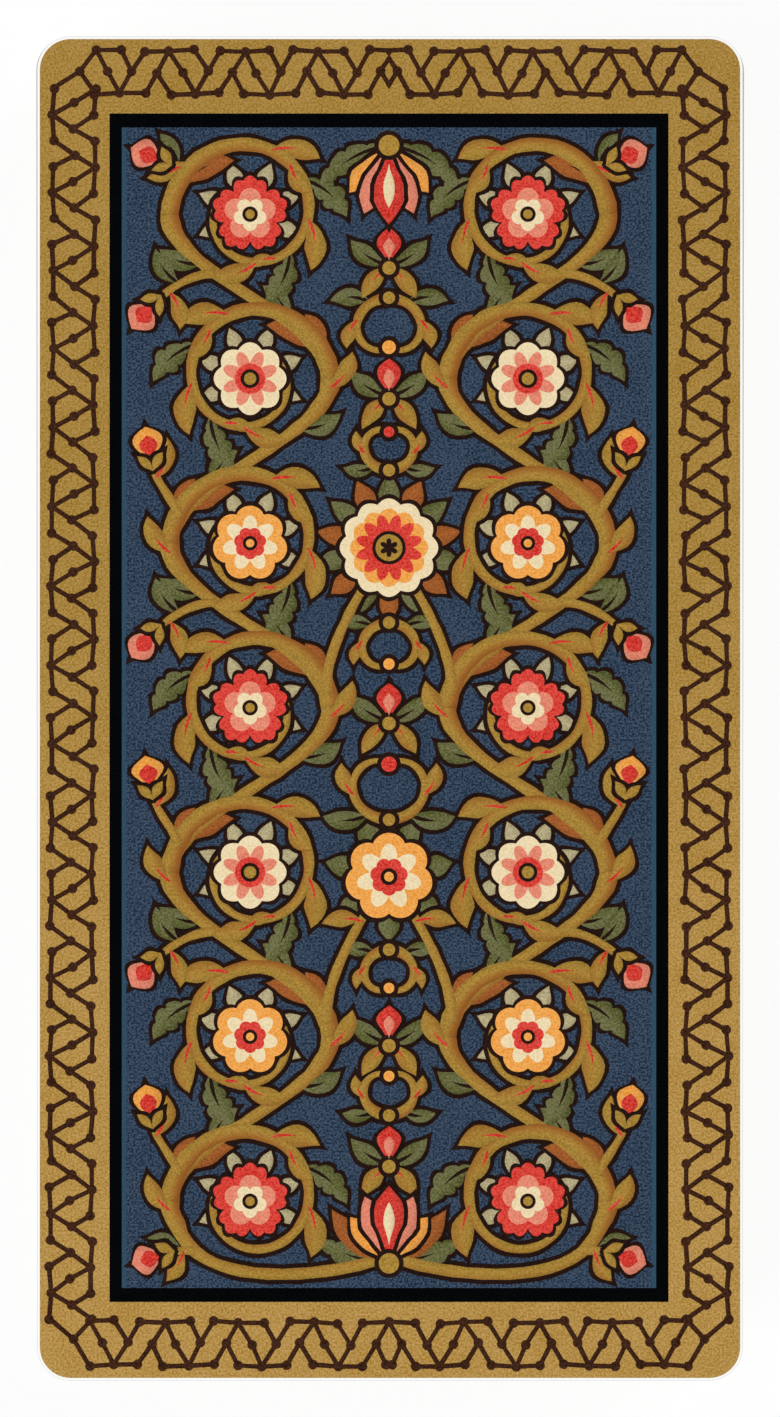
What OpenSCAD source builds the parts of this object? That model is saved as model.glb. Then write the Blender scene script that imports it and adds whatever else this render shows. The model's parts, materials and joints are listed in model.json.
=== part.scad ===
// Tarot deck: seventy-eight cards squared up on a table, backs up.
// Millimetres. X runs across a card, Y along it and Z up through the deck.
// The origin lies on the table, under the middle of the deck.

/* [Card] */
// Width of a card
card_w = 63; // [50:0.5:80]
// Height of a card
card_h = 120; // [90:0.5:150]
// Thickness of the card stock
card_t = 0.34; // [0.25:0.01:0.5]
// Radius of the die-cut corners
corner_r = 3; // [1:0.1:8]

/* [Deck] */
// Air left between two neighbouring cards
air_gap = 0.05; // [0.02:0.01:0.2]
// Sideways stray of a card's loose end, in a deck squared up at one corner
stray = 0.16; // [0:0.01:0.5]

/* [Hidden] */
$fn = 48;

// The suits lie on the table in this order, from the lowest up, with the trumps above them.
// In each suit the pip cards lie two by two under the four court cards.
SUITS = ["coins", "swords", "cups", "wands"];
PIP_PAIRS = ["ace_two", "three_four", "five_six", "seven_eight", "nine_ten"];
COURTS = ["page", "knight", "queen", "king"];
trump_count = 22;

pip_count = 2 * len(PIP_PAIRS);
suit_size = pip_count + len(COURTS);
card_count = len(SUITS) * suit_size + trump_count;
all_suits = [0 : len(SUITS) - 1];
all_pairs = [0 : len(PIP_PAIRS) - 1];
all_courts = [0 : len(COURTS) - 1];
all_trumps = [0 : trump_count - 1];

// Height from one card to the next
pitch = card_t + air_gap;

// Middle of the lower left corner's arc. The deck is squared up at this corner, and a hand
// pinches it here to fan the cards.
pinch = [corner_r - card_w / 2, corner_r - card_h / 2];

// The farthest turn of a strayed card about that corner. Steps of the golden angle spread the
// turns unevenly over the deck and leave the top card square.
full_turn = asin(stray / (card_h - corner_r));
golden_angle = 137.5;
function stray_turn(place) = full_turn * sin(golden_angle * (card_count - 1 - place));

function trump_name(number) = str("trump_", number < 10 ? "0" : "", number);
function pair_name(suit, pair) = str(SUITS[suit], "_", PIP_PAIRS[pair]);
function court_name(suit, rank) = str(SUITS[suit], "_", COURTS[rank]);

// Places in the deck count up from the card on the table, which has place 0
function pip_place(suit, pip) = suit * suit_size + pip;
function court_place(suit, rank) = suit * suit_size + pip_count + rank;
function trump_place(number) = card_count - 1 - number;

// A rectangle with true arcs at its corners
module card_outline() {
    square([card_w - 2 * corner_r, card_h], center = true);
    square([card_w, card_h - 2 * corner_r], center = true);
    for (x = [-1, 1], y = [-1, 1])
        translate([x * (card_w / 2 - corner_r), y * (card_h / 2 - corner_r)])
            circle(corner_r);
}

// One card where it lies in the deck, turned a little about the pinched corner
module card(place) {
    translate([pinch.x, pinch.y, place * pitch])
        rotate(stray_turn(place))
            translate([-pinch.x, -pinch.y])
                linear_extrude(card_t)
                    card_outline();
}

// Two pip cards of a suit, which move as one packet
module pip_pair(suit, pair) {
    color("ivory")
        for (pip = [2 * pair, 2 * pair + 1])
            card(pip_place(suit, pip));
}

// A page, knight, queen or king
module court(suit, rank) {
    color("wheat") card(court_place(suit, rank));
}

// A picture card of the fifth suit. Number 0 lies on top and shows the gold border of its back.
module trump(number) {
    color("darkgoldenrod") card(trump_place(number));
}

for (suit = all_suits, pair = all_pairs)
    pip_pair(suit, pair);
for (suit = all_suits, rank = all_courts)
    court(suit, rank);
for (number = all_trumps)
    trump(number);
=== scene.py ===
# %% [markdown]
# # A deck of tarot cards, squared up with its backs showing
#
# Seventy-eight cards lie in a block on a white table, and the camera looks straight down on the
# back of the top one. The solids of the cards come with the frame, at their real size and place.
# What is left to make here is paper and ink: the cut edges, the gold border, the black frame
# and the flowered panel. The panel's flowers are a design of this file's own.
#
# Everything is in metres, in the frame of the solids. The drawing of the print is thought out
# in millimetres, with complex numbers for places, because turning and mirroring is then one
# short sum.

# %% Load the frame
import json
from cmath import phase, rect
from math import copysign, cos, hypot, pi, radians, sin, sqrt

import bpy
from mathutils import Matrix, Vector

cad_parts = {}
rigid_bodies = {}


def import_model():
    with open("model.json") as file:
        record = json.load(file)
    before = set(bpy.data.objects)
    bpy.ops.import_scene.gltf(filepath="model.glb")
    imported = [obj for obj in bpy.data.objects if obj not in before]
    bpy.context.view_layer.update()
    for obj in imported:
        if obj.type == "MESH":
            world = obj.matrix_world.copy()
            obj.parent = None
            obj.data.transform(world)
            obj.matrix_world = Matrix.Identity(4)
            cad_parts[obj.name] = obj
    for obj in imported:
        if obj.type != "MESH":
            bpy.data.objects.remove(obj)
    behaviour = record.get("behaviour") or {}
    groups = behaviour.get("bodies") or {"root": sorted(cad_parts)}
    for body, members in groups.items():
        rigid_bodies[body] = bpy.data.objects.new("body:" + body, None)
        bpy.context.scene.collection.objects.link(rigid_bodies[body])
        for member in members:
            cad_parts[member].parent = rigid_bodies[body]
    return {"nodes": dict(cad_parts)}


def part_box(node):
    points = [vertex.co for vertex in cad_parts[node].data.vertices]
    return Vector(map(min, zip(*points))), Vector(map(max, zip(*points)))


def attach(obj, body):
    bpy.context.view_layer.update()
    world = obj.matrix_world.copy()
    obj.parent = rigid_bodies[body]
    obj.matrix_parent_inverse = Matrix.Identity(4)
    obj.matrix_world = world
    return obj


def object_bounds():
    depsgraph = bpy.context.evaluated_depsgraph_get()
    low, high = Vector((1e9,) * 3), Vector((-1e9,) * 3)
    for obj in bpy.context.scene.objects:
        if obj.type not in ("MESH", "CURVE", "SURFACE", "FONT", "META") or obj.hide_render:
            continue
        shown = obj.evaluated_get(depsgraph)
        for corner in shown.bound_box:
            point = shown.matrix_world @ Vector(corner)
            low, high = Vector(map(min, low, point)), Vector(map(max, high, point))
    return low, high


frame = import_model()
cad_low, cad_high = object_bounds()

MM = 0.001
TOP_CARD, NEXT_CARD = "trump_00", "trump_01"
card_low, card_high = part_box(TOP_CARD)
CARD_W, CARD_H, CARD_T = [(high - low) / MM for low, high in zip(card_low, card_high)]
PITCH_Z = (card_high.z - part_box(NEXT_CARD)[1].z) / MM
print(f"{len(frame['nodes'])} nodes, a card is {CARD_W:.1f} x {CARD_H:.1f} x {CARD_T:.2f} mm")

# %% [markdown]
# ## Writing node trees as sums
#
# Both finishes and shapes are made by nodes here. Placing nodes one by one in a script soon
# hides what they work out, so a small class wraps a socket and lets it stand in a Python
# expression: each operator adds one Math node. Any other node comes from `Graph.node`, which
# takes the node's kind, what goes into its sockets, the output that is wanted and its settings.

# %% Wires and graphs
def maths(operation, order=1):
    """A method that adds one Math node for a wire and what stands beside it. Order -1 swaps them."""
    def method(*terms):
        return terms[0].graph.node("Math", dict(enumerate(terms[::order])), operation=operation)

    return method


class Wire:
    """A socket that can stand in a sum, such as 1 - wire * 2."""

    def __init__(self, graph, socket):
        self.graph, self.socket = graph, socket

    __add__ = __radd__ = maths("ADD")
    __mul__ = __rmul__ = maths("MULTIPLY")
    __sub__, __rsub__ = maths("SUBTRACT"), maths("SUBTRACT", -1)
    __truediv__, __rtruediv__ = maths("DIVIDE"), maths("DIVIDE", -1)
    __lt__, __gt__ = maths("LESS_THAN"), maths("GREATER_THAN")
    __abs__ = maths("ABSOLUTE")
    whole, root = maths("FLOOR"), maths("SQRT")
    least, most = maths("MINIMUM"), maths("MAXIMUM")
    cosine, arctan2 = maths("COSINE"), maths("ARCTAN2")


class Graph:
    """A node tree that is filled from Python."""

    def __init__(self, tree):
        self.tree = tree

    def node(self, kind, sockets=None, out=0, family="ShaderNode", **settings):
        made = self.tree.nodes.new(family + kind)
        for name, value in settings.items():
            setattr(made, name, value)
        for key, value in (sockets or {}).items():
            self.feed(made.inputs[key], value)
        return Wire(self, made.outputs[out])

    def feed(self, socket, value):
        """Links a wire, or each wire of a list, and sets anything else as the socket's value."""
        for part in value if isinstance(value, list) else [value]:
            if isinstance(part, Wire):
                self.tree.links.new(part.socket, socket)
            else:
                socket.default_value = part


print("node trees can be written as sums")

# %% [markdown]
# ## Finishes
#
# Every finish on a card is paper or ink, so one class holds what they share: a Principled
# shader, places in millimetres, and noise in grains per millimetre. Ink is not one even colour.
# It sits on paper fibre and a screen of dots, so each finish mixes two tones by a fine grain.

# %% Finish helper
def linear(colour):
    """A colour that is written as on a screen, 0 to 255, turned into the light it stands for."""
    shares = [c / 255 for c in colour]
    return [s / 12.92 if s <= 0.04045 else ((s + 0.055) / 1.055) ** 2.4 for s in shares]


class Finish(Graph):
    """A material under construction."""

    def __init__(self, name):
        self.material = bpy.data.materials.new(name)
        self.material.use_nodes = True
        super().__init__(self.material.node_tree)
        self.shader = self.tree.nodes["Principled BSDF"]

    def place(self):
        """The point on the piece, in millimetres, as a vector."""
        where = self.node("TexCoord", out="Object")
        return self.node("VectorMath", {0: where, "Scale": 1 / MM}, operation="SCALE")

    def split(self, vector):
        return [self.node("SeparateXYZ", {0: vector}, out) for out in "XYZ"]

    def noise(self, place, grains, detail=1.0):
        """Noise between 0 and 1, with about so many grains to the millimetre."""
        return self.node("TexNoise", {"Vector": place, "Scale": grains, "Detail": detail})

    def attribute(self, name):
        return self.node("Attribute", out="Fac", attribute_name=name)

    def blend(self, share, first, second):
        """The first colour where share is 0 and the second where it is 1."""
        inks = [c if isinstance(c, Wire) else (*linear(c), 1) for c in (first, second)]
        return self.node("Mix", {0: share, 6: inks[0], 7: inks[1]}, 2,
                         data_type="RGBA", clamp_factor=True)

    def smooth(self, value, low, high):
        """A soft step from 0 at low to 1 at high."""
        return self.node("MapRange", {"Value": value, "From Min": low, "From Max": high},
                         interpolation_type="SMOOTHSTEP")

    def bump(self, height, strength, distance):
        return self.node("Bump", {"Height": height, "Strength": strength, "Distance": distance * MM})

    def set(self, **sockets):
        """Feeds the shader: words of a socket's name are joined by an underscore."""
        for name, value in sockets.items():
            self.feed(self.shader.inputs[name.replace("_", " ")], value)
        return self.material


print("finishes can be written")

# %% [markdown]
# ## Sizes of the print
#
# These are read off the picture of the card: a hairline of bare paper round the edge, a gold
# border, a black frame and the panel inside it. Round the border runs the old ornament of a
# ribbon folded to and fro, with a bead wherever two of its lines meet. The beads stand in cells:
# two rows, and one bead in the middle of each cell between them. Three cells make one fold.

# %% Sizes of the print
CORNER_R = 3.0
BARE_RIM = 0.24
FRAME_W, FRAME_H = 49.9, 106.1
PANEL_W, PANEL_H = 47.7, 103.6
# Where the middle of the print lies on the card, because a press is never quite true
PRINT_OFF = -0.09 + 0.07j

# The inner row of beads, from the card's middle, and the outer row's distance from it, evened out
ROW_X, ROW_Y = 26.45, 54.8
BAND_H = 3.8
# Cells from a corner to the middle of the head or foot, down a whole side, and in one fold
CELLS_ACROSS, CELLS_ALONG, FOLD = 12, 47, 3
CELL_ACROSS, CELL_ALONG = ROW_X / CELLS_ACROSS, 2 * ROW_Y / CELLS_ALONG
# The bead on which the ribbon turns, out from the inner row's corner
ELBOW = 1.5
RIBBON_LINE, BEAD_R = 0.42, 0.45

# Darker and lighter tones. The gold changes between two heights on the card.
GOLD_HEAD = ((145, 110, 26), (186, 149, 84))
GOLD_FOOT = ((158, 119, 38), (200, 161, 97))
GOLD_FADE = (20.0, -34.0)
BLUE = ((22, 38, 58), (68, 84, 105))
BROWN = ((42, 18, 6), (76, 47, 32))
BLACK = ((3, 4, 6), (9, 10, 12))
print(f"cells of {CELL_ACROSS:.2f} mm at head and foot, and of {CELL_ALONG:.2f} mm at the sides")

# %% [markdown]
# ## The finish of a whole card
#
# A card is one solid with three kinds of face: its back, its front and its cut edge. The solid's
# triangles must not be touched, so one material tells them apart by the way they face. The
# border's ribbon follows a rule, so it is worked out in the material too: when the deck is
# fanned, each of the lower cards shows a sliver of it.

# %% The ribbon of the border, as a mask
def ribbon_mask(x, y):
    """1 on the brown lines and beads of the border, 0 elsewhere. x and y are in millimetres."""
    line = RIBBON_LINE / 2

    def bead(at, up):
        return at * at + up * up < BEAD_R ** 2

    # Beads along the band and the share of the way from its first row to its second
    beside, above = abs(x) - ROW_X, abs(y) - ROW_Y
    on_side, on_top = beside > above, y > 0
    width = CELL_ACROSS + on_side * (CELL_ALONG - CELL_ACROSS)
    last = CELLS_ACROSS + on_side * (CELLS_ALONG - CELLS_ACROSS)
    at_end = above / BAND_H
    down = at_end + on_top * (1 - 2 * at_end)
    down = down + on_side * (beside / BAND_H - down)
    along = (0 - beside + on_side * (ROW_Y - y + beside)) / width

    # The lines of one cell, by its place in the fold
    cell = along.whole()
    share = along - cell
    kind = cell - FOLD * (cell / FOLD).whole()
    first, third = kind < 0.5, kind > 1.5
    second = 1 - first - third
    slant = 1 / (1 / (width * width) + 1 / BAND_H ** 2).root()
    falling = (abs(share - down) * slant < line) * (first + second * (down < 0.5) + third * (down > 0.5))
    rising = (abs(share + down - 1) * slant < line) * (1 - first)
    rows = ((abs(down) * BAND_H < line) * (1 - second)).most((abs(down - 1) * BAND_H < line) * (1 - third))
    within = (abs(down - 0.5) * BAND_H < BAND_H / 2 + line) * (along > 0) * (along < last)
    lines = falling.most(rising).most(rows) * within
    nearest = share - (share + 0.5).whole()
    beads = bead(nearest * width, abs(down - 0.5) * BAND_H - BAND_H / 2)
    beads = beads.most(bead((share - 0.5) * width, (down - 0.5) * BAND_H))
    beads = beads * (along * width > 0 - BEAD_R) * ((along - last) * width < BEAD_R)

    # The turn at a corner: three lines that meet in one bead
    far, near = beside.most(above), beside.least(above)
    spoke = (far - near < line * sqrt(2)) * (far < ELBOW)
    reach = hypot(ELBOW, BAND_H - ELBOW)
    arm = abs((far - ELBOW) * ELBOW + (near - ELBOW) * (BAND_H - ELBOW)) / reach < line
    arm = arm * (far > ELBOW) * (far < BAND_H)
    turn = (spoke.most(arm) * (near > 0)).most(bead(far - ELBOW, near - ELBOW))
    return lines.most(beads).most(turn)


print("the border's ribbon has a rule")

# %% The card material
# Grains and clouds of ink to the millimetre, and how strongly they show
GRAIN, CLOUD = 5.5, 0.35
GRAIN_GAIN, PLAIN_GAIN, CLOUD_GAIN = {"gold": 2.6, "blue": 3.8}, 2.8, 0.5

PAPER = ((251, 250, 246), (255, 255, 253))
# A painted shade line along the cut edge of every card, standing in for the shade that falls on the edge:
# its colour, and its width in millimetres
CUT_SHADE, CUT_SHADE_W = (204, 203, 196), 0.03
# The paper's tooth to the millimetre, and the finish of edge and sheet
TOOTH, TOOTH_ROUGH = 7.0, 0.08
EDGE_ROUGH, SHEET_ROUGH, CARD_SHINE = 0.88, 0.52, 0.04

# The cut edge: how far its core reaches, fibres to the millimetre, and what lightens the tone
EDGE = ((206, 198, 180), (246, 241, 230))
CORE, FIBRE = 0.3, 3.0
PLY_GAIN, OWN_GAIN, FIBRE_GAIN = 0.45, 0.3, 0.3

# The front: ruled lines and a coin with a star on it. A line is its distance and half its width.
FACE = ((226, 211, 178), (244, 233, 206))
FACE_LINE, FACE_GOLD, FACE_RED = (74, 52, 40), (190, 146, 66), (164, 62, 46)
FACE_MOTTLE = 1.2
FACE_RULES = [(3.4, 0.3), (4.6, 0.12)]
COIN_R, STAR_R, BOSS_R = 17.0, 12.0, 7.0
RAYS, RAY_H = 12, 1.3
COIN_RINGS, STAR_RIM = [(16.6, 0.4), (14.6, 0.15), (BOSS_R, 0.25)], [(STAR_R, 0.25)]


def inset(x, y):
    """How far a point of the card lies in from the cut edge, in millimetres."""
    over_x = abs(x) - (CARD_W / 2 - CORNER_R)
    over_y = abs(y) - (CARD_H / 2 - CORNER_R)
    out_x, out_y = over_x.most(0.0), over_y.most(0.0)
    return CORNER_R - (out_x * out_x + out_y * out_y).root() - over_x.most(over_y).least(0.0)


def gold_colour(f, grain, y):
    """Gold that is a little lighter at the foot of the card than at its head."""
    fade = f.smooth(y, *GOLD_FADE)
    return f.blend(fade, f.blend(grain, *GOLD_HEAD), f.blend(grain, *GOLD_FOOT))


def ink_tone(f, place, ink):
    """Where a point of an ink lies between its two tones: a fine grain, and slow clouds under it."""
    grain = f.noise(place, GRAIN) - 0.5
    cloud = f.noise(place, CLOUD, 2.0) - 0.5
    return 0.5 + grain * GRAIN_GAIN.get(ink, PLAIN_GAIN) + cloud * CLOUD_GAIN


def back_colour(f, place, x, y):
    """Paper rim with a painted shade line at its cut edge, gold border with its ribbon, black frame and
    blue panel.
    """
    depth = inset(x, y)
    paper = f.blend(f.noise(place, GRAIN), *PAPER)
    # Painted shade: a thin grey line where the paper meets the cut edge
    paper = f.blend(depth < CUT_SHADE_W, paper, CUT_SHADE)
    printed = f.blend(depth > BARE_RIM, paper, gold_colour(f, ink_tone(f, place, "gold"), y))
    x, y = x - PRINT_OFF.real, y - PRINT_OFF.imag
    brown = f.blend(ink_tone(f, place, "brown"), *BROWN)
    printed = f.blend(ribbon_mask(x, y), printed, brown)
    framed = (abs(x) < FRAME_W / 2) * (abs(y) < FRAME_H / 2)
    printed = f.blend(framed, printed, BLACK[1])
    inside = (abs(x) < PANEL_W / 2) * (abs(y) < PANEL_H / 2)
    return f.blend(inside, printed, f.blend(ink_tone(f, place, "blue"), *BLUE))


def ruled(distance, lines):
    """1 on the lines and 0 between them."""
    mask = 0.0
    for at, half_width in lines:
        mask = (abs(distance - at) < half_width).most(mask)
    return mask


def front_colour(f, place, x, y, z):
    """A cream face with a ruled frame. The lowest card, an ace, has one large coin on it."""
    cream = f.blend(f.noise(place, FACE_MOTTLE, 4.0), *FACE)
    face = f.blend(ruled(inset(x, y), FACE_RULES), cream, FACE_LINE)
    reach = (x * x + y * y).root()
    star = reach + (y.arctan2(x) * RAYS).cosine() * RAY_H
    coin = f.blend(star < STAR_R, FACE_GOLD, FACE_RED)
    coin = f.blend(reach < BOSS_R, coin, FACE_GOLD)
    coin = f.blend(ruled(reach, COIN_RINGS).most(ruled(star, STAR_RIM)), coin, FACE_LINE)
    return f.blend((reach < COIN_R) * (z < CARD_T / 2), face, coin)


def edge_colour(f, place, z):
    """Cut board: white plies round a greyer core, each card a little different from the next."""
    layer = (z / PITCH_Z).whole()
    own = f.node("TexWhiteNoise", {"W": layer}, "Value", noise_dimensions="1D")
    ply = abs((z - layer * PITCH_Z) / CARD_T - 0.5)
    fibre = f.noise(place, FIBRE, 3.0)
    tone = f.smooth(ply, 0.0, CORE) * PLY_GAIN + own * OWN_GAIN + fibre * FIBRE_GAIN
    return f.blend(tone, *EDGE)


def card_finish():
    f = Finish("card")
    place = f.place()
    x, y, z = f.split(place)
    facing = f.split(f.node("TexCoord", out="Normal"))[2]
    is_back, is_front = facing > 0.5, facing < -0.5
    colour = f.blend(is_back, edge_colour(f, place, z), back_colour(f, place, x, y))
    colour = f.blend(is_front, colour, front_colour(f, place, x, y, z))
    sheet = is_back.most(is_front)
    tooth = f.noise(place, TOOTH, 2.0)
    rough = EDGE_ROUGH - sheet * (EDGE_ROUGH - SHEET_ROUGH) + tooth * TOOTH_ROUGH
    return f.set(Base_Color=colour, Roughness=rough, Specular_IOR_Level=CARD_SHINE,
                 Normal=f.bump(tooth, 0.15, 0.02))


card = card_finish()
for node in frame["nodes"].values():
    for slot in node.material_slots:
        slot.material = card
print(f"a card finish of {len(card.node_tree.nodes)} nodes for the whole deck")

# %% [markdown]
# ## The drawing of the print
#
# The top card, and the one that shows when it is dealt away, need the whole print. A shader
# could hold two flowers, not two hundred leaves, so the print is drawn as real plates of ink. They
# are a few hundredths of a millimetre thick at most, and each ink lies a layer or more above the
# one before, as a letterpress lays them down.
#
# All of it comes from two marks: a brush stroke, which is a path with a width at each point,
# and a stamp, which is a small motif at a place, a turn and a size. The panel is the same left
# and right, so a mark is drawn twice unless it says that it stands on the middle line.

# %% Two marks: strokes and stamps
LINE_W = 0.39
LAYER = {"gold": 1, "frame": 2, "ribbon": 2, "panel": 3, "collar": 4, "outline": 6, "green": 7,
         "rust": 8, "vein": 9, "ochre": 10, "red_vein": 11}
# The lowest layer of a flower
BLOOM = 12
# Thickness of a layer, and of the hair that sets a mark above another, in metres
FILM, HAIR = 2.5e-6, 0.2e-6
# How much a drawn line's width wavers, and how deep the rim of a scalloped leaf is cut
WAVER, NOTCH = 0.05, 0.34
# All marks, and what is taken up in each layer
strokes, stamps, shelves = [], [], {}


def rise_of(layer, low, high):
    """The top of a mark's ink: its layer, plus the lowest hair's breadth that no neighbour has."""
    taken = shelves.setdefault(layer, [])
    near = {hair for other_low, other_high, hair in taken
            if low.real < other_high.real and other_low.real < high.real
            and low.imag < other_high.imag and other_low.imag < high.imag}
    hair = next(n for n in range(len(near) + 1) if n not in near)
    taken.append((low, high, hair))
    return layer * FILM + hair * HAIR


def mirrored(place):
    return complex(-place.real, place.imag)


def by_hand(place):
    """How much wider or thinner a line comes out where a hand drew it."""
    return 1 + WAVER * (sin(2.3 * place.real + 1.1 * place.imag) + sin(3.1 * place.imag))


def stroke(ink, layer, path, widths, pair=True, shade=0.0):
    """Draws along a path, with a width at each of its points."""
    spread = max(widths) / 2 * (1 + 1j)
    low, high = [complex(end(p.real for p in path), end(p.imag for p in path)) for end in (min, max)]
    drawn = [width * by_hand(place) for place, width in zip(path, widths)]
    strokes.append((ink, rise_of(layer, low - spread, high + spread), path, drawn, shade))
    if pair:
        stroke(ink, layer, [mirrored(p) for p in path], widths, False, shade)


def stamp(ink, layer, motif, place, size, turn=0.0, pair=True):
    """Sets a motif down."""
    spread = size * (1 + 1j)
    rise = rise_of(layer, place - spread, place + spread)
    stamps.append((ink, rise, motif, place, size, turn))
    if pair:
        stamp(ink, layer, motif, mirrored(place), size, pi - turn, False)


def count_marks(newest):
    print(f"{len(strokes)} strokes and {len(stamps)} stamps, the newest for {newest}")


def unit(z):
    return z / abs(z)


def taper(start, end, count):
    return [start + (end - start) * i / (count - 1) for i in range(count)]


def outlined(ink, layer, path, widths, pair=True, under=None, shade=0.0):
    """A stroke of ink over a dark one that is wider all round and runs on past both ends."""
    before = path[0] - LINE_W * unit(path[1] - path[0])
    tip = 2 if widths[-1] < LINE_W else 1
    after = path[-1] + tip * LINE_W * unit(path[-1] - path[-2])
    wider = [widths[0]] + [w + 2 * LINE_W for w in widths] + [widths[-1]]
    stroke("line", under or layer, [before] + path + [after], wider, pair)
    stroke(ink, layer + 1, path, widths, pair, shade)


def arc_path(start, heading, length, bend, steps=10):
    """A path that leaves start along heading and turns steadily by bend over its length."""
    path = [start]
    for i in range(steps):
        path.append(path[-1] + rect(length / steps, heading + bend * (i + 0.5) / steps))
    return path


def swelling(width, belly, steps=10):
    """Widths of a leaf or petal. A belly above 1 puts the widest part nearer the tip."""
    return [width * sin(pi * (i / steps) ** belly) for i in range(steps + 1)]


def scalloped(width, belly, scallops, steps=24):
    """Widths of a leaf whose rim is cut into scallops, with a sharp notch between two of them."""
    notches = [NOTCH * (1 - abs(sin(pi * scallops * i / steps))) ** 2 for i in range(steps + 1)]
    return [w * (1 - n) for w, n in zip(swelling(width, belly, steps), notches)]


def bezier(p0, p1, p2, p3, steps=18):
    return [p0 * (1 - t) ** 3 + 3 * p1 * t * (1 - t) ** 2 + 3 * p2 * t * t * (1 - t) + p3 * t ** 3
            for t in taper(0, 1, steps + 1)]


print("strokes and stamps can be drawn")

# %% [markdown]
# ## Vines, leaves and petals
#
# A vine is a stroke that tapers. A leaf or a petal is a short stroke that swells and closes, so
# its dark outline keeps one even width round any curve, which a scaled-up copy would not.

# %% Vines, leaves, petals and blooms
UP = pi / 2
VINE_SHADE, LEAF_SHADE = 0.25, 0.4
SHOOT_W = (0.85, 0.6)
# A leaf's vein: share of the leaf's length, width, ink and layer
RED_VEIN, DARK_VEIN = (0.5, 0.26, "red", "red_vein"), (0.62, 0.32, "line", "vein")
# A green leaf longer than this has a scalloped rim
SCALLOP_FROM = 4.4


def vine(path, widths, shade=VINE_SHADE):
    outlined("ochre", LAYER["ochre"] - 1, path, widths, True, LAYER["outline"], shade)


def leaf(ink, place, heading, length, width, bend):
    widths = swelling(width, 1.15)
    if ink == "green" and length > SCALLOP_FROM:
        widths = scalloped(width, 1.1, 4)
    path = arc_path(place, heading, length, bend, len(widths) - 1)
    outlined(ink, LAYER[ink] - 1, path, widths, True, LAYER["outline"], LEAF_SHADE)
    share, vein_width, vein_ink, layer = RED_VEIN if ink == "ochre" else DARK_VEIN
    vein = arc_path(place, heading, length * share, bend * share)
    stroke(vein_ink, LAYER[layer], vein, swelling(vein_width, 0.7))


def petal(ink, layer, place, heading, length, width, pair=True, bend=0.0, belly=1.5):
    outlined(ink, layer, arc_path(place, heading, length, bend), swelling(width, belly), pair)


def fleck(ink, layer, place, heading, length, width, pair=True, belly=1.5):
    """A petal without an outline, which lies on a larger one."""
    stroke(ink, layer, arc_path(place, heading, length, 0.0), swelling(width, belly), pair)


def collar(place, reach, inks, twist, length, width, pair):
    """A ring of narrow leaves that show from behind a flower, with a gap where the ink is None."""
    for i, ink in enumerate(inks):
        turn = UP + 2 * pi * (i + twist) / len(inks)
        foot = place + rect(reach, turn)
        if ink:
            petal(ink, LAYER["collar"], foot, turn, length, width, pair, belly=1.1)


def bloom(rings, place, size=1.0, pair=True):
    """A flower seen from the front: rings of ink, each a motif, a radius and perhaps a twist."""
    for step, (ink, motif, radius, *twist) in enumerate(rings):
        stamp(ink, BLOOM + step, motif, place, radius * size, UP + sum(twist), pair)


def knob(ink, place, radius, layer=BLOOM):
    """A round knob or berry on the middle line."""
    stamp("line", layer, "disc", place, radius + LINE_W, pair=False)
    stamp(ink, layer + 1, "disc", place, radius, pair=False)


def heading_of(curve, at, step=0.01):
    return phase(curve(at + step) - curve(at - step))


def shoot(points, widths=SHOOT_W):
    """A thin vine along a curve with four guiding points."""
    path = bezier(*points)
    vine(path, taper(*widths, len(path)))


print("the garden's parts are ready")

# %% [markdown]
# ## The stem and its scrolls
#
# The layout is the old rolling scroll of borders and friezes: a stem swings from side to side as
# it climbs, and on each swing a branch winds inwards to a flower. One cosine gives the stem and
# one spiral gives all the branches, so they meet without any fitting.

# %% The stem and its scrolls
SCROLLS, MARGIN = 7, 0.4
FIELD_H = PANEL_H - 2 * MARGIN
SCROLL_H = FIELD_H / SCROLLS
# The stem's middle and its swing, and a scroll's radius at its end and how far it winds
STEM_X, SWING = 12.4, 7.2
HEART_R, WINDING = 2.7, radians(410)
# First and last point of the stem, in swings from the foot of the panel
STEM_START, STEM_END = 0.36, SCROLLS - 0.49
# Widths of stem, fork and tip, and the power by which a scroll slims
STEM_W, FORK_W, TIP_W, SLIMMING = 1.0, 1.7, 0.62, 2.2
STEM_STEPS, SCROLL_STEPS = 150, 60
# Points that lead the root from the middle line out to the stem
ROOT = (1.0 - 49.3j, 5.0 - 50.6j, 17.0 - 52.4j)


def side_of(k):
    return (-1) ** k


def height(k):
    return -FIELD_H / 2 + SCROLL_H * k


def stem(t):
    return complex(STEM_X + SWING * cos(pi * (t - 0.5)), height(t))


def heart(k):
    return complex(STEM_X, height(k + 0.5))


def scroll(k):
    """The branch on a swing of the stem, as a curve by the angle that it has wound."""
    def curve(angle):
        radius = SWING + (HEART_R - SWING) * angle / WINDING
        return heart(k) + radius * complex(side_of(k) * cos(angle), sin(angle))

    return curve


root = bezier(*ROOT, stem(STEM_START))
climb = [stem(t) for t in taper(STEM_START, STEM_END, STEM_STEPS + 1)[1:]]
swell = [(0.5 - 0.5 * cos(2 * pi * (p.imag - height(0)) / SCROLL_H)) ** 2 for p in root + climb]
vine(root + climb, [STEM_W + (FORK_W - STEM_W) * s for s in swell],
     [VINE_SHADE + (1 - VINE_SHADE) * s for s in swell])
shares = taper(1.0, 0.0, SCROLL_STEPS + 1)
for k in range(SCROLLS):
    path = [scroll(k)(WINDING * (1 - share)) for share in shares]
    vine(path, [TIP_W + (FORK_W - TIP_W) * share ** SLIMMING for share in shares], shares)
print(f"{SCROLLS} scrolls on each side, {SCROLL_H:.1f} mm apart")

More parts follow.
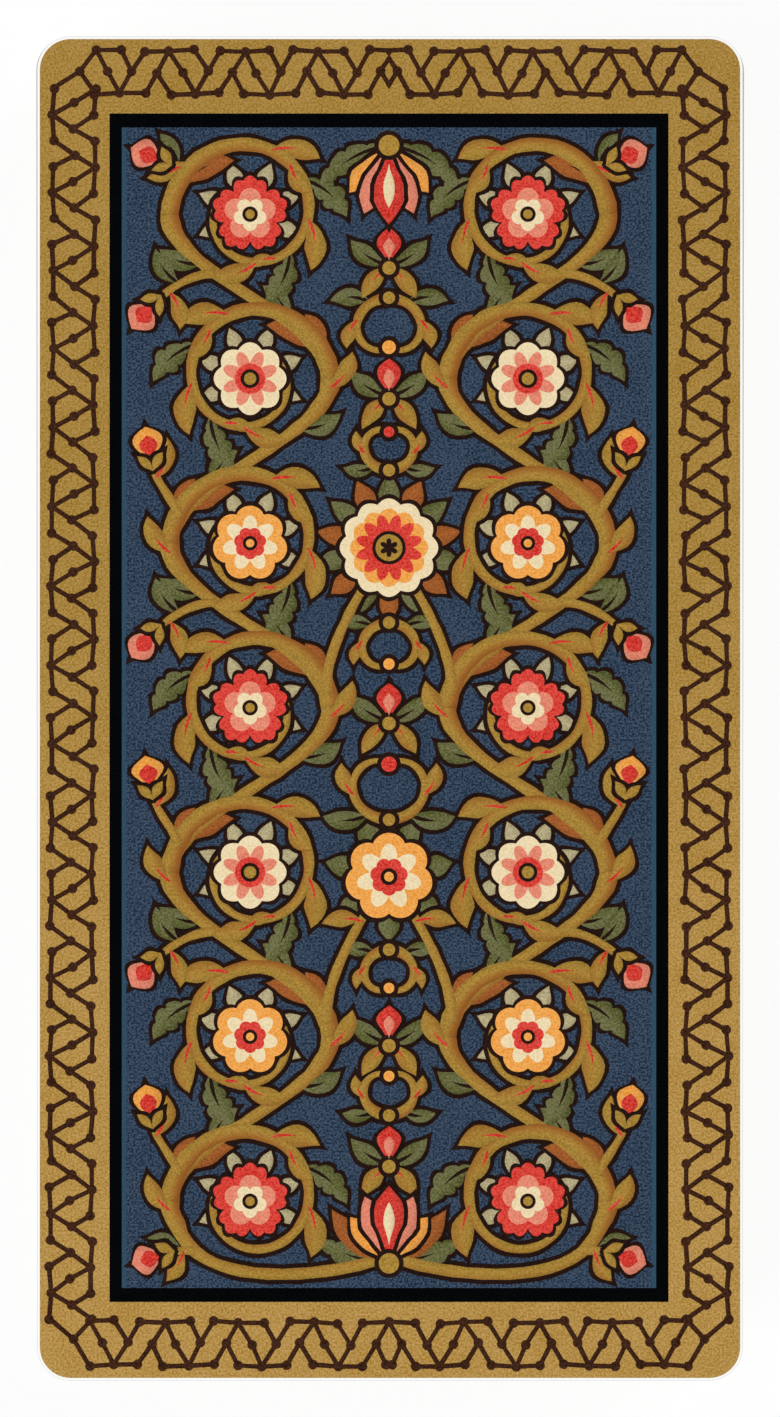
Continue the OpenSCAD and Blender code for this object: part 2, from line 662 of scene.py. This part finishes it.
# %% Leaves of the scrolls and the stem
# Each row is a leaf: degrees along the scroll, lean from it, length, width and ink
OUTER_LEAVES = [(108, 40, 4.6, 1.9, "ochre"), (146, 48, 5.4, 2.3, "green"), (184, 40, 4.8, 2.0, "ochre"),
                (222, 50, 5.4, 2.3, "green"), (262, 42, 4.2, 1.8, "ochre")]
INNER_LEAVES = [(128, 36, 3.4, 1.5, "ochre"), (240, 30, 2.6, 1.2, "ochre")]
# Here the first number is a share of one swing of the stem
STEM_LEAVES = [(0.20, 46, 4.2, 1.8, "green"), (0.44, 42, 4.0, 1.7, "ochre"), (0.66, 40, 3.8, 1.6, "rust"),
               (0.84, 44, 4.2, 1.8, "green")]
LEAF_BEND = 0.9
# The rust leaf in a fork: place along the scroll, lean, length and width, and bend
FORK_AT, FORK_LEAN, FORK_LEAF, FORK_BEND = radians(20), 0.12, (5.8, 2.1), 0.8
# Scroll and degrees of the leaves that would lie on the root or on a flower of the middle line
LEFT_OUT = {(0, 222), (0, 240), (0, 262), (2, 146), (4, 146)}


def leaf_on(curve, at, way, lean, length, width, ink):
    """A leaf on one side of a curve, which leans away from it and bends back."""
    heading = heading_of(curve, at) + way * radians(lean)
    leaf(ink, curve(at), heading, length, width, -way * LEAF_BEND)


for k in range(SCROLLS):
    side, branch = side_of(k), scroll(k)
    for rows, outward in ((OUTER_LEAVES, 1), (INNER_LEAVES, -1)):
        for degrees, *shape in rows:
            if (k, degrees) not in LEFT_OUT:
                leaf_on(branch, radians(degrees), -side * outward, *shape)
    for share, *shape in STEM_LEAVES:
        if STEM_START < k + share < STEM_END - 0.1:
            leaf_on(stem, k + share, -side, *shape)
    heading = heading_of(branch, FORK_AT + 0.17) + side * FORK_LEAN
    leaf("rust", branch(FORK_AT), heading, *FORK_LEAF, side * FORK_BEND)
count_marks("leaves")

# %% [markdown]
# ## Flowers
#
# A flower seen from the front is a stack of flat motifs, each a circle whose radius rises and
# falls a few times on its way round. Buds and palmettes are petals set like a fan.

# %% Roses in the scrolls, buds along the edge
CREAM_ROSE = [("line", "eight_lobes", 3.64), ("cream", "eight_lobes", 3.25),
              ("salmon", "eight_points", 2.55, pi / 8), ("red", "disc", 1.35),
              ("line", "disc", 0.85), ("ochre", "disc", 0.55)]
RED_ROSE = [("line", "five_frills", 3.84), ("red", "five_frills", 3.45),
            ("salmon", "five_lobes", 2.35), ("cream", "five_lobes", 1.5, pi / 5),
            ("line", "disc", 0.7), ("ochre", "disc", 0.42)]
GOLD_ROSE = [("line", "seven_lobes", 3.74), ("orange", "seven_lobes", 3.35),
             ("cream", "seven_points", 2.5), ("red", "seven_lobes", 1.45, pi / 7),
             ("line", "disc", 0.65), ("orange", "disc", 0.37)]
MEDALLION = [("line", "twelve_lobes", 4.8), ("cream", "twelve_lobes", 4.4),
             ("orange", "twelve_lobes", 3.5), ("red", "twelve_points", 3.0, pi / 12),
             ("line", "disc", 1.5), ("ochre", "disc", 1.2), ("line", "six_points", 0.85)]

ROSES = (RED_ROSE, GOLD_ROSE, CREAM_ROSE)
# The scroll's tip hides two of the eight sepals
SEPALS = ["sage"] * 3 + [None] * 2 + ["sage"] * 3
# Length and width of a bud, of its heart and of its sepals
BUD, BUD_HEART, BUD_SEPAL = (3.3, 2.7), (2.2, 1.6), (1.9, 0.85)

for k in range(SCROLLS):
    collar(heart(k), 1.9, SEPALS, twist=0.5, length=3.0, width=1.35, pair=True)
    bloom(ROSES[k % len(ROSES)], heart(k))


def bud(ink, place, heading):
    """A closed flower with a red heart and two sepals."""
    along = rect(1, heading)
    petal(ink, BLOOM, place, heading, *BUD)
    fleck("red", BLOOM + 2, place + along * 0.3, heading, *BUD_HEART)
    for way in (1, -1):
        petal("ochre", BLOOM + 3, place - along * 0.7, heading + way * 0.5, *BUD_SEPAL,
              bend=way * 0.3, belly=1.1)


for k in range(1, SCROLLS):
    if side_of(k) > 0:
        foot, tip = stem(k + 0.14), complex(20.8, height(k) - 0.4)
        shoot((foot, foot + 1.8, tip - 1.8 + 1.6j, tip))
        leaf("green", tip - 2.2 + 1.5j, 0.5, 4.0, 1.6, LEAF_BEND)
        leaf("ochre", tip - 1.2 + 0.8j, -2.3, 3.6, 1.5, LEAF_BEND)
        bud("salmon", tip, -0.85)
    else:
        foot, tip = stem(k - 0.34), complex(21.2, height(k) - 0.2)
        shoot((foot, foot + 0.4 + 1.4j, tip - 0.4 - 1.8j, tip))
        leaf("ochre", tip - 0.3 - 1.4j, 2.3, 4.0, 1.6, -LEAF_BEND)
        bud("orange", tip, 1.4)
count_marks("roses and buds")

# %% Palmettes, pods and the flowers of the middle line
# Petals of a palmette, from the outermost in: lean, length, width and ink
PALMETTE = [(40, 5.6, 2.1, "orange"), (20, 6.6, 2.3, "salmon"), (0, 7.2, 2.8, "red")]
# Leaves of the palmettes at the foot and the head: lean, length, width, ink and bend
FOOT_LEAVES = [(86, 7.2, 2.3, "green", 0.5), (64, 7.4, 2.2, "rust", 0.6)]
HEAD_LEAVES = [(-82, 7.6, 2.2, "green", -0.8)]
# Scroll beside which a pod stands, and how far it is lifted from the scroll's middle
PODS = ((0, 4.9), (1, 1.0), (3, 0.4), (5, 0.0), (6, -3.0))


def palmette(base, up, size, leaves):
    """A fan of five petals over its leaves. up is the way that it opens."""
    for lean, length, width, ink, bend in leaves:
        leaf(ink, base, up - radians(lean), length * size, width * size, bend)
    for step, (lean, length, width, ink) in enumerate(PALMETTE):
        petal(ink, BLOOM + 2 * step, base, up - radians(lean), length * size, width * size, lean > 0)
    fleck("cream", BLOOM + 6, base + rect(1.7 * size, up), up, 4.0 * size, 1.05 * size, False, 1.3)
    knob("ochre", base, 0.95 * size, BLOOM + 5)


def pod(place):
    """A small red pod with a pair of green leaves and a pair of ochre ones."""
    foot = place - 1.6j
    petal("red", BLOOM, foot, UP, 3.4, 2.1, pair=False)
    fleck("salmon", BLOOM + 2, foot + 0.5j, UP, 2.0, 0.95, pair=False, belly=1.4)
    leaf("green", foot, radians(14), 4.2, 1.6, 0.7)
    leaf("ochre", foot, radians(-36), 3.8, 1.5, -0.5)
    knob("ochre", foot - 0.2j, 0.6, BLOOM + 1)


palmette(-49.6j, UP, 0.96, FOOT_LEAVES)
palmette(1j * (height(SCROLLS) - 1.2), -UP, 0.98, HEAD_LEAVES)
for k, lift in PODS:
    pod(1j * (height(k + 0.5) + lift))

for k in (2, 4):
    spot = 1j * (height(k + 0.5) - 0.4)
    tip, foot = spot + 0.4 - 1.0j, stem(k - 0.42)
    shoot((foot, foot + rect(2.4, heading_of(stem, k - 0.42)), tip + 2.8 - 3.2j, tip), (1.0, 0.7))
    if k == 2:
        leaf("ochre", tip + 1.9 - 3.0j, 0.35, 3.8, 1.6, -0.8)
        collar(spot, 2.4, ["green"] * 7, twist=0.5, length=3.4, width=1.9, pair=False)
        bloom(GOLD_ROSE, spot, 1.17, pair=False)
    else:
        collar(spot, 2.8, ["green", "rust"] * 7, twist=0.0, length=3.8, width=1.8, pair=False)
        bloom(MEDALLION, spot, pair=False)
count_marks("the middle line")

# %% Lyres between the flowers, and sprays in the corners
# Height of a lyre's foot, 1 if it opens upwards or -1 if it hangs, its size and its berry
LYRES = [(-36.4, 1, 0.78, "orange"), (-21.6, -1, 0.76, "orange"), (-10.0, 1, 1.1, "red"),
         (7.6, -1, 0.82, "orange"), (21.2, 1, 0.76, "red"), (36.6, -1, 0.98, "orange")]
# Length of a lyre's shoot, the way it starts, how far it turns and how late, and its two widths
LYRE_L, LYRE_START, LYRE_TURN, LYRE_LATE, LYRE_W = 8.7, 0.1, 3.6, 1.3, (1.0, 0.45)
LYRE_STEPS = 26
# Foot, tip and heading of the sprays at head and foot of the panel
SPRAYS = ((17.6 + 48.4j, 20.0 + 48.7j, 0.4), (17.3 - 48.45j, 19.8 - 48.7j, -0.3))


def lyre(foot, up, size, ink):
    """Two shoots that part at foot, swing out and meet again in a berry."""
    path = [foot]
    for i in range(LYRE_STEPS):
        turned = LYRE_TURN * ((i + 0.5) / LYRE_STEPS) ** LYRE_LATE
        path.append(path[-1] + rect(LYRE_L * size / LYRE_STEPS, up * (LYRE_START + turned)))
    vine(path, taper(*LYRE_W, len(path)), taper(0.8, 0.0, len(path)))
    leaf("green", path[5], up * -0.5, 3.9 * size, 1.6 * size, up * 0.9)
    leaf("ochre", path[11], up * 0.75, 2.9 * size, 1.3 * size, up * 0.9)
    knob(ink, 1j * path[-1].imag, 0.62 * size)
    knob("ochre", foot, 0.55)


for y, up, size, ink in LYRES:
    lyre(1j * y, up, size, ink)
for foot, tip, heading in SPRAYS:
    shoot((foot, foot + 0.8, tip - rect(0.8, heading), tip), (0.8, 0.6))
    leaf("green", foot + 1.2, heading + 0.9, 3.3, 1.5, -0.5)
    leaf("ochre", foot + 1.0, heading - 1.0, 3.2, 1.4, 0.5)
    bud("salmon", tip, heading)
count_marks("lyres and sprays")

# %% [markdown]
# ## The border and the three sheets of ink under the drawing
#
# The ribbon of the border is drawn once more, now as strokes. The card finish has it on an even
# lattice, but the print was drawn by hand: each band is a little askew, each bead a little off
# its place, and at the head the ribbon is cut where it meets its mirror image. Gold, black and
# blue are sheets that are stamped once, at full size.

# %% The ribbon and the sheets
# The four ends of each band on the left half: of its first row of beads, then of its second
HEAD_BAND = ((-26.21 + 58.65j, 0.39 + 58.65j), (-26.21 + 54.81j, 0.45 + 54.81j))
SIDE_BAND = ((-26.26 + 55.13j, -26.61 - 54.62j), (-29.96 + 55.33j, -30.27 - 54.57j))
FOOT_BAND = ((-26.67 - 54.75j, -0.06 - 54.93j), (-26.79 - 58.69j, -0.19 - 58.75j))
# The beads on which the ribbon turns its corners
HEAD_ELBOW, FOOT_ELBOW = -27.6 + 56.81j, -28.16 - 56.37j
# Ink and layer of the ribbon
RIBBON = "brown", LAYER["ribbon"]
# How far a bead may lie off its place
UNEVEN = 0.11
# What the middle line leaves of the bead at the middle of the head
SLIVER, SLIVER_W = [58.1j, 58.5j, 58.9j], 0.56


def brown_line(start, end):
    """A line of the ribbon, cut at the card's middle line, where a steep one comes to a point."""
    if end.real > 0:
        end = start + (end - start) * start.real / (start.real - end.real)
        run = unit(end - start)
        if abs(run.imag) > abs(run.real):
            tip = end + 1j * copysign(RIBBON_LINE / 2 / abs(run.real), run.imag)
            stroke(*RIBBON, [end, tip], [RIBBON_LINE / abs(run.imag), 0.0], False)
    stroke(*RIBBON, [start, end], [RIBBON_LINE] * 2)


def bead(place):
    if place.real < 0:
        stamp(*RIBBON, "bead", place, BEAD_R)


def ribbon(rows, cells):
    """One band, and its likeness on the other half: the lines of each cell, by its place in the fold."""
    def at(cell, row):
        first, second = [start + (end - start) * cell / cells for start, end in rows]
        place = first + (second - first) * row
        off = complex(sin(2.3 * place.real + 9.1 * place.imag), sin(7.7 * place.real - 5.3 * place.imag))
        return place + UNEVEN * off

    for cell in range(cells):
        middle = at(cell + 0.5, 0.5)
        kind = cell % FOLD
        if kind == 0:
            brown_line(at(cell, 0), middle)
            brown_line(middle, at(cell + 1, 1))
        else:
            brown_line(at(cell, 1), middle)
            brown_line(middle, at(cell + 1, 0))
            brown_line(middle, at(cell, 0) if kind == 1 else at(cell + 1, 1))
        for row, bare in ((0, 1), (1, 2)):
            if kind != bare:
                brown_line(at(cell, row), at(cell + 1, row))
            bead(at(cell, row))
        bead(middle)
    for row in (0, 1):
        bead(at(cells, row))


ribbon(HEAD_BAND, CELLS_ACROSS)
ribbon(SIDE_BAND, CELLS_ALONG)
ribbon(FOOT_BAND, CELLS_ACROSS)
for elbow, band, side_end in ((HEAD_ELBOW, HEAD_BAND, 0), (FOOT_ELBOW, FOOT_BAND, 1)):
    for end in (band[0][0], band[1][0], SIDE_BAND[1][side_end]):
        brown_line(elbow, end)
    bead(elbow)
stroke(*RIBBON, SLIVER, [0.0, SLIVER_W, 0.0], False)
# The gold is true to the card, so it takes back the offset of the print
for ink, name, place in (("gold", "gold", -PRINT_OFF), ("black", "frame", 0j), ("blue", "panel", 0j)):
    stamp(ink, LAYER[name], f"{name}_sheet", place, 1.0, pair=False)
count_marks("border and sheets")

# %% [markdown]
# ## Motifs for the stamps
#
# A motif is a flat fan of triangles about its middle. The three sheets have their full size, and
# all others a radius of one millimetre, which a stamp scales. A motif carries an attribute,
# `across`, that is 0 in the middle and 1 at the rim, which an ink can shade by.

# %% Motif meshes
def lobes(count, depth, power=1.0, frill=0, small=0.0, points=None):
    """A circle whose radius dips count times by depth, with finer dips for a frilled edge."""
    points = points or 12 * count
    outline = []
    for i in range(points):
        angle = 2 * pi * i / points
        radius = 1 - depth * (1 - abs(cos(count * angle / 2)) ** power)
        radius -= small * (1 - abs(cos(frill * angle / 2)))
        outline.append(rect(radius, angle))
    return outline


def sheet(width, depth, radius=0.0, steps=12):
    """A rectangle, with its corners rounded where a radius is given."""
    outline = []
    for turn, (x, y) in enumerate(((1, 1), (-1, 1), (-1, -1), (1, -1))):
        middle = complex(x * (width / 2 - radius), y * (depth / 2 - radius))
        stops = range(steps + 1) if radius else [0]
        outline += [middle + rect(radius, UP * (turn + i / steps)) for i in stops]
    return outline


MOTIFS = {
    "bead": lobes(1, 0),
    "disc": lobes(1, 0, points=24),
    "five_lobes": lobes(5, 0.3, 0.8),
    "five_frills": lobes(5, 0.2, 0.7, 15, 0.1, points=120),
    "six_points": lobes(6, 0.5, points=48),
    "seven_lobes": lobes(7, 0.16, 0.8),
    "seven_points": lobes(7, 0.4),
    "eight_lobes": lobes(8, 0.15),
    "eight_points": lobes(8, 0.45),
    "twelve_lobes": lobes(12, 0.1, points=120),
    "twelve_points": lobes(12, 0.3, points=120),
    "gold_sheet": sheet(CARD_W - 2 * BARE_RIM, CARD_H - 2 * BARE_RIM, CORNER_R - BARE_RIM),
    "frame_sheet": sheet(FRAME_W, FRAME_H),
    "panel_sheet": sheet(PANEL_W, PANEL_H),
}
MOTIF_NAMES = sorted(MOTIFS)
COLUMN_KINDS = {"motif": "INT", "is_stamp": "BOOLEAN"}


def new_mesh(name, points, edges=(), faces=(), **columns):
    """A mesh that carries each column as an attribute, with one value for every point."""
    mesh = bpy.data.meshes.new(name)
    mesh.from_pydata(points, edges, faces)
    for key, column in columns.items():
        attribute = mesh.attributes.new(key, COLUMN_KINDS.get(key, "FLOAT"), "POINT")
        attribute.data.foreach_set("value", column)
    return mesh


def motif_object(name):
    outline = MOTIFS[name]
    count = len(outline)
    points = [(0.0, 0.0, 0.0)] + [(p.real * MM, p.imag * MM, 0.0) for p in outline]
    fan = [(0, i + 1, (i + 1) % count + 1) for i in range(count)]
    return bpy.data.objects.new(name, new_mesh(name, points, faces=fan, across=[0.0] + [1.0] * count))


motif_shelf = bpy.data.collections.new("motifs")
for name in MOTIF_NAMES:
    motif_shelf.objects.link(motif_object(name))
print(f"{len(MOTIF_NAMES)} motifs on the shelf")

# %% [markdown]
# ## A tree that turns marks into plates of ink
#
# For each ink, a mesh holds its marks: a chain of edges is a stroke and a loose point is a
# stamp. The tree sweeps a short line along the chains, sets a motif on each loose point, and
# gives both their thickness. Modelling a thousand leaves by hand would look no different, and
# could not be changed by one number.

# %% The ink plate tree
# Corners nearer than this, in metres, become one
WELD = 1e-7


def ink_plate_tree():
    tree = bpy.data.node_groups.new("ink_plate", "GeometryNodeTree")
    for name, way, kind in (("Marks", "INPUT", "Geometry"), ("Motifs", "INPUT", "Collection"),
                            ("Columns", "INPUT", "Int"), ("Ink", "INPUT", "Material"),
                            ("Plate", "OUTPUT", "Geometry")):
        tree.interface.new_socket(name, in_out=way, socket_type=f"NodeSocket{kind}")
    g = Graph(tree)
    inputs = tree.nodes.new("NodeGroupInput")
    marks, motifs, columns, ink = [Wire(g, inputs.outputs[i]) for i in range(4)]

    def geo(kind, sockets=None, **settings):
        return g.node(kind, sockets, family="GeometryNode", **settings)

    def named(name, kind="FLOAT"):
        return geo("InputNamedAttribute", {"Name": name}, data_type=kind)

    brush = geo("CurvePrimitiveLine", {"Start": (-1, 0, 0), "End": (1, 0, 0)})
    brush = geo("ResampleCurve", {"Curve": brush, "Count": columns})
    reach = g.node("SeparateXYZ", {0: geo("InputPosition")}, "X")
    brush = geo("StoreNamedAttribute", {"Geometry": brush, "Name": "across", "Value": reach})
    chains = geo("MeshToCurve", {"Mesh": marks})
    chains = geo("SetCurveNormal", {"Curve": chains}, mode="Z_UP")
    swept = geo("CurveToMesh", {"Curve": chains, "Profile Curve": brush, "Scale": named("half_width")})

    shelf = geo("CollectionInfo", {"Collection": motifs, "Separate Children": True, "Reset Children": True})
    turn = g.node("CombineXYZ", {"Z": named("turn")})
    set_down = geo("InstanceOnPoints",
                   {"Points": marks, "Selection": named("is_stamp", "BOOLEAN"), "Instance": shelf,
                    "Pick Instance": True, "Instance Index": named("motif", "INT"),
                    "Rotation": turn, "Scale": named("size")})
    set_down = geo("RealizeInstances", {"Geometry": set_down})

    flat = geo("JoinGeometry", {"Geometry": [swept, set_down]})
    facing = g.node("SeparateXYZ", {0: geo("InputNormal")}, "Z")
    flat = geo("FlipFaces", {"Mesh": flat, "Selection": facing < 0.0})
    lift = g.node("CombineXYZ", {"Z": named("rise")})
    raised = geo("ExtrudeMesh", {"Mesh": flat, "Offset": lift, "Offset Scale": 1.0, "Individual": False})
    under = geo("FlipFaces", {"Mesh": flat})
    plate = geo("JoinGeometry", {"Geometry": [raised, under]})
    plate = geo("MergeByDistance", {"Geometry": plate, "Distance": WELD})
    plate = geo("SetMaterial", {"Geometry": plate, "Material": ink})
    g.feed(tree.nodes.new("NodeGroupOutput").inputs[0], plate)
    return tree


ink_plates = ink_plate_tree()
print(f"ink plate tree with {len(ink_plates.nodes)} nodes")

# %% [markdown]
# ## Inks
#
# Each ink has a darker and a lighter tone, mixed by the grain of the print. Some of them also
# shade: a thick vine goes from ochre to rust on one side, a green leaf has a lighter half, petals
# are deeper towards the middle, and the blue is paler in a strip down each side of the panel.

# %% Ink finishes
INK_TONES = {
    "gold": GOLD_HEAD,
    "black": BLACK,
    "blue": BLUE,
    "brown": BROWN,
    "line": ((26, 14, 11), (46, 27, 21)),
    "ochre": ((150, 115, 44), (184, 146, 66)),
    "rust": ((140, 78, 36), (178, 103, 50)),
    "green": ((80, 84, 34), (122, 122, 84)),
    "sage": ((164, 152, 112), (198, 186, 146)),
    "red": ((193, 34, 24), (230, 81, 70)),
    "orange": ((228, 144, 48), (248, 177, 94)),
    "cream": ((230, 206, 160), (246, 228, 188)),
    "salmon": ((214, 118, 94), (240, 150, 124)),
}
PETAL_INKS = ("red", "salmon", "cream", "orange")
LEAF_GAIN, PETAL_GAIN = 0.25, 0.3
RUST, RUST_SHARE = (158, 88, 38), 0.9
PALE_STRIP, STRIP_W, STRIP_SHARE = (46, 79, 99), 0.4, 0.8
INK_ROUGH, GRAIN_ROUGH = 0.5, 0.16
INK_SHINE, BLACK_SHINE = 0.025, 0.0


def ink_finish(ink):
    f = Finish(f"{ink}_ink")
    place = f.place()
    x, y, _ = f.split(place)
    tone = ink_tone(f, place, ink)
    across = f.attribute("across")
    if ink == "green":
        tone = tone + across * LEAF_GAIN
    if ink in PETAL_INKS:
        tone = tone + (abs(across) - 0.5) * PETAL_GAIN
    colour = gold_colour(f, tone, y) if ink == "gold" else f.blend(tone, *INK_TONES[ink])
    if ink == "ochre":
        side = f.smooth(across, -0.5, 1.0)
        colour = f.blend(side * f.attribute("shade") * RUST_SHARE, colour, RUST)
    if ink == "blue":
        at_side = abs(x - PRINT_OFF.real) > PANEL_W / 2 - STRIP_W
        colour = f.blend(at_side * STRIP_SHARE, colour, PALE_STRIP)
    grain = f.noise(place, GRAIN)
    rough = INK_ROUGH + grain * GRAIN_ROUGH
    return f.set(Base_Color=colour, Roughness=rough, Normal=f.bump(grain, 0.1, 0.01),
                 Specular_IOR_Level=BLACK_SHINE if ink == "black" else INK_SHINE)


ink_finishes = {ink: ink_finish(ink) for ink in INK_TONES}
print(f"{len(ink_finishes)} inks mixed")

# %% [markdown]
# ## Printing a card
#
# One mesh of marks goes through the tree for each ink. The film is thin enough that all the
# layers together still fit under the next card. Marks of one ink overlap where a leaf grows from
# a vine, so each mark gets a hair's breadth of height of its own, and no two tops lie in one plane.

# %% Print the two cards
# A stroke that comes to a point still has this width there
POINT_W = 0.02
# Inks that don't shade across a stroke
PLAIN_INKS = ("line", "brown")


def add_object(name, data):
    """A new object in the scene."""
    made = bpy.data.objects.new(name, data)
    bpy.context.collection.objects.link(made)
    return made


def marks_mesh(ink, z):
    """The marks of one ink as chains of edges and loose points, with their sizes as attributes."""
    points, edges = [], []
    columns = {name: [] for name in ("half_width", "rise", "shade", "turn", "size", "motif", "is_stamp")}

    def add(place, **values):
        place += PRINT_OFF
        points.append((place.real * MM, place.imag * MM, z))
        for name, column in columns.items():
            column.append(values.get(name, 0))

    for _, rise, path, widths, shade in [mark for mark in strokes if mark[0] == ink]:
        edges += [(n, n + 1) for n in range(len(points), len(points) + len(path) - 1)]
        shades = shade if isinstance(shade, list) else [shade] * len(path)
        for place, width, own_shade in zip(path, widths, shades):
            add(place, half_width=max(width, POINT_W) / 2 * MM, rise=rise, shade=own_shade)
    for _, rise, motif, place, size, turn in [mark for mark in stamps if mark[0] == ink]:
        add(place, rise=rise, turn=turn, size=size, motif=MOTIF_NAMES.index(motif), is_stamp=True)

    return new_mesh(f"{ink}_marks", points, edges, **columns)


def ink_plate(ink, node, label):
    """The print of one ink on a card, as a plain mesh that rides with the card."""
    marks = add_object("marks", marks_mesh(ink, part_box(node)[1].z))
    modifier = marks.modifiers.new("ink_plate", "NODES")
    modifier.node_group = ink_plates
    values = {"Motifs": motif_shelf, "Columns": 2 if ink in PLAIN_INKS else 3, "Ink": ink_finishes[ink]}
    for item in ink_plates.interface.items_tree:
        if item.name in values:
            modifier[item.identifier] = values[item.name]
    depsgraph = bpy.context.evaluated_depsgraph_get()
    mesh = bpy.data.meshes.new_from_object(marks.evaluated_get(depsgraph), depsgraph=depsgraph)
    bpy.data.objects.remove(marks)
    mesh.name = f"{label}_{ink}"
    plate = add_object(mesh.name, mesh)
    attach(plate, node)
    return plate


for node, label in ((TOP_CARD, "top_print"), (NEXT_CARD, "next_print")):
    plates = [ink_plate(ink, node, label) for ink in INK_TONES]
    print(f"{label}: {len(plates)} inks, {sum(len(p.data.polygons) for p in plates)} faces")
for motif in list(motif_shelf.objects):
    bpy.data.objects.remove(motif)
bpy.data.collections.remove(motif_shelf)

# %% [markdown]
# ## Table, light and camera
#
# The picture has a plain white ground. The floor is white and shows to the camera mostly as
# light of strength 1, with a share of its lit surface left in, so that the deck keeps a soft
# shadow. The lamps stand well off to the sides: straight overhead they would shine back into the
# camera from the varnish. A long lens from high up shows the top card and nothing of the sides.

# %% Floor
FLOOR_SIZE = 3.0
FLOOR_WHITE = ((250, 250, 250), (255, 255, 255))
SHADOW_SHARE = 0.12
# Between these distances from the deck, in millimetres, the shadow fades out
SHADOW_FADE = (200.0, 700.0)


def seen_as_ground(graph):
    """1 on rays that show the ground itself, straight on or in a gloss, and 0 on rays of light."""
    straight, glossy, passing = [graph.node("LightPath", out=f"Is {kind} Ray")
                                 for kind in ("Camera", "Glossy", "Transmission")]
    return straight.most(glossy).most(passing)


def floor_finish():
    f = Finish("white_table")
    lit = Wire(f, f.shader.outputs[0])
    glow = f.node("Emission", {"Strength": 1.0})
    place = f.place()
    x, y, _ = f.split(place)
    faded = f.smooth((x * x + y * y).root(), *SHADOW_FADE)
    share = seen_as_ground(f) * (1 - SHADOW_SHARE * (1 - faded))
    both = f.node("MixShader", {0: share, 1: lit, 2: glow})
    f.feed(f.tree.nodes["Material Output"].inputs["Surface"], both)
    mottle = f.noise(place, 0.02, 3.0)
    return f.set(Base_Color=f.blend(mottle, *FLOOR_WHITE), Roughness=0.9, Specular_IOR_Level=0.0)


corners = [(p.real, p.imag, 0.0) for p in sheet(FLOOR_SIZE, FLOOR_SIZE)]
floor_mesh = new_mesh("floor", corners, faces=[(0, 1, 2, 3)])
floor_mesh.materials.append(floor_finish())
floor = add_object("floor", floor_mesh)
print("floor laid")

# %% Lamps and world
WORLD_LIGHT = 0.4
# Place, size and power of each lamp
LAMPS = {"window": ((-0.75, -0.35, 0.75), 0.9, 7.6), "bounce": ((0.75, 0.45, 0.65), 0.9, 5.4)}

world = bpy.data.worlds.new("studio")
bpy.context.scene.world = world
world.use_nodes = True
sky = Graph(world.node_tree)
background = world.node_tree.nodes["Background"]
sky.feed(background.inputs["Color"], (1, 1, 1, 1))
sky.feed(background.inputs["Strength"], WORLD_LIGHT + seen_as_ground(sky) * (1 - WORLD_LIGHT))
middle = (cad_low + cad_high) / 2
for name, (place, size, power) in LAMPS.items():
    lamp = bpy.data.lights.new(name, "AREA")
    lamp.size, lamp.energy = size, power
    holder = add_object(name, lamp)
    holder.location = place
    holder.rotation_euler = (middle - holder.location).to_track_quat("-Z", "Y").to_euler()
print(f"{len(LAMPS)} lamps")

# %% Camera
LENS, SENSOR = 135.0, 36.0
# Height of what the picture shows at the top card
VIEW_H = 126.5 * MM

camera_data = bpy.data.cameras.new("camera")
camera_data.lens = LENS
camera_data.sensor_width = SENSOR
camera = add_object("camera", camera_data)
card_middle = (card_low + card_high) / 2
camera.location = (card_middle.x, card_middle.y, cad_high.z + VIEW_H * LENS / SENSOR)
scene = bpy.context.scene
scene.camera = camera
scene.view_settings.view_transform = "Standard"
print(f"camera {camera.location.z / MM:.0f} mm above the table")
